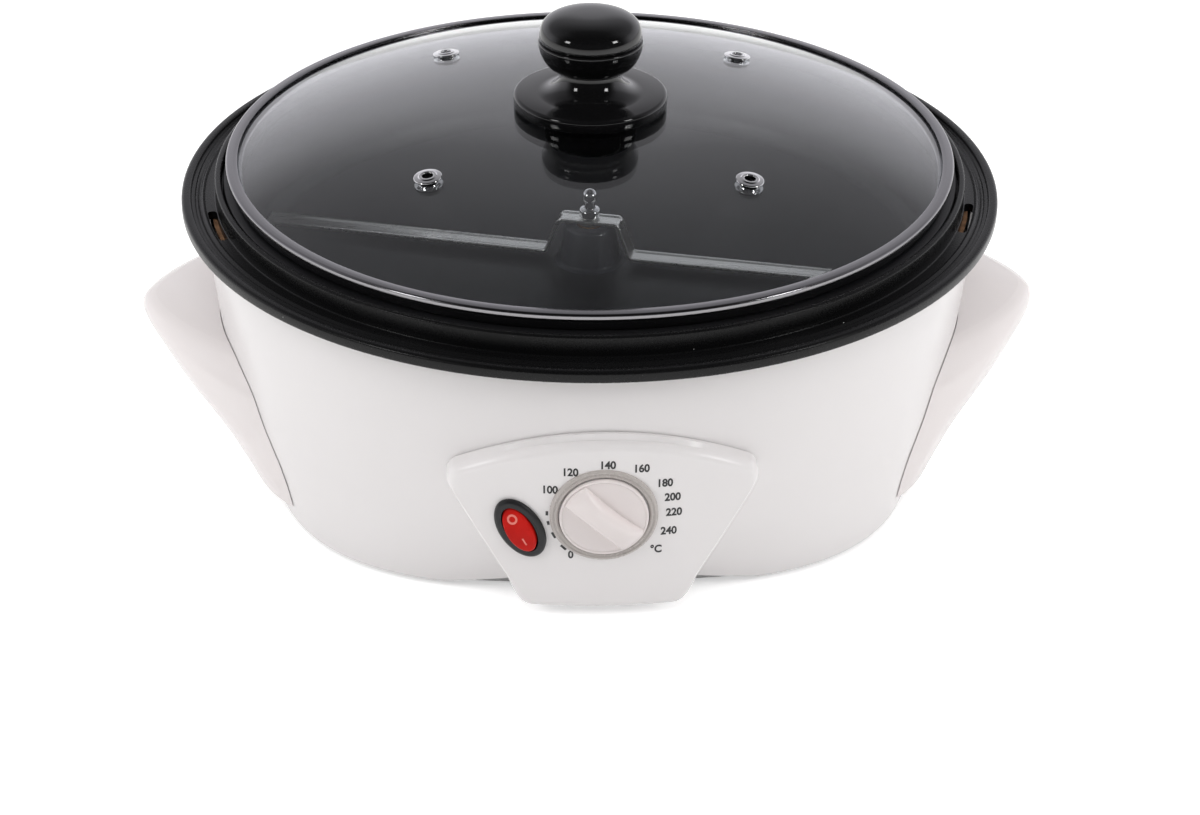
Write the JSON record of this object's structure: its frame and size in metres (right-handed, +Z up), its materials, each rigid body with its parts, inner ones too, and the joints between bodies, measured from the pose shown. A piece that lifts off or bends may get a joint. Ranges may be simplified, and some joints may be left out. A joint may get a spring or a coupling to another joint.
{
  "type": "coffee bean roaster",
  "caption": "Home coffee bean roaster: a wide coated pan with a turning stirrer in a white body with side handles and a front control panel, under a lift-off glass lid.",
  "frame": {"origin": "on the ground under the pan's axis, which is the bottom centre of the bounding box", "axes": "+X to the right through the side handles, the control panel faces -Y, +Z up through the lid knob"},
  "size_m": [0.354, 0.3198, 0.174],
  "materials": {
    "white_plastic": "smooth moulded, off-white",
    "black_plastic": "satin black moulding",
    "gloss_black": "polished black moulding",
    "pan_coating": "dark non-stick coating on aluminium",
    "steel": "smooth bright steel",
    "plated": "plated",
    "sheet_metal": "dull sheet",
    "black_sheet": "black painted sheet",
    "bronze": "sintered bronze",
    "fibre": "pressed brown fibre",
    "rubber": "matt",
    "insulator": "cream moulded insulator",
    "red_plastic": "glossy clear red",
    "glass": "clear tempered glass"
  },
  "bodies": {
    "base": {"housing_shell": "white_plastic", "base_tray": "black_sheet", "rim_ring": "black_plastic", "fibre_gasket": "fibre", "heat_shield": "sheet_metal", "roasting_pan": "pan_coating", "shaft_bush": "bronze", "ring_heater": "steel", "gearbox": "sheet_metal", "motor": "sheet_metal", "thermal_fuse": "insulator", "terminal_block": "insulator", "cord_gland": "black_plastic", "foot_1": "rubber", "foot_2": "rubber", "foot_3": "rubber", "foot_4": "rubber", "tray_screw_1": "steel", "tray_screw_2": "steel", "tray_screw_3": "steel", "tray_screw_4": "steel", "heater_bracket_1": "sheet_metal", "heater_bracket_2": "sheet_metal", "heater_bracket_3": "sheet_metal", "motor_screw_1": "steel", "motor_screw_2": "steel", "handle_screw_1": "steel", "handle_screw_2": "steel", "handle_screw_3": "steel", "handle_screw_4": "steel", "handle_left": "white_plastic", "handle_right": "white_plastic", "control_panel": "white_plastic", "thermostat": "insulator", "switch_frame": "gloss_black", "switch_body": "black_plastic"},
    "lid": {"lid_glass": "glass", "lid_band": "steel", "vent_grommet_1": "plated", "vent_grommet_2": "plated", "vent_grommet_3": "plated", "vent_grommet_4": "plated", "knob_grip": "gloss_black", "knob_cap": "gloss_black", "knob_seat": "gloss_black", "knob_screw": "steel"},
    "stirring": {"drive_shaft": "steel", "stirrer": "steel", "stirrer_nut": "plated"},
    "dial": {"temperature_dial": "white_plastic", "thermostat_spindle": "steel"},
    "rocker": {"switch_rocker": "red_plastic"}
  },
  "joints": [
    {"name": "lid_lift", "type": "slide", "parent": "base", "child": "lid", "axis": [0, 0, 1], "range_m": [0, 0.06]},
    {"name": "stirrer_turn", "type": "hinge", "parent": "base", "child": "stirring", "pos_m": [0, 0, 0.08], "axis": [0, 0, 1], "continuous": true},
    {"name": "dial_turn", "type": "hinge", "parent": "base", "child": "dial", "pos_m": [0, -0.1514, 0.0458], "axis": [0, 0.9986, 0.0523], "range_deg": [-92, 152]},
    {"name": "rocker_tilt", "type": "hinge", "parent": "base", "child": "rocker", "pos_m": [-0.0293, -0.14886, 0.03972], "axis": [0.8729, -0.1571, 0.4619], "range_deg": [0, 14]}
  ]
}
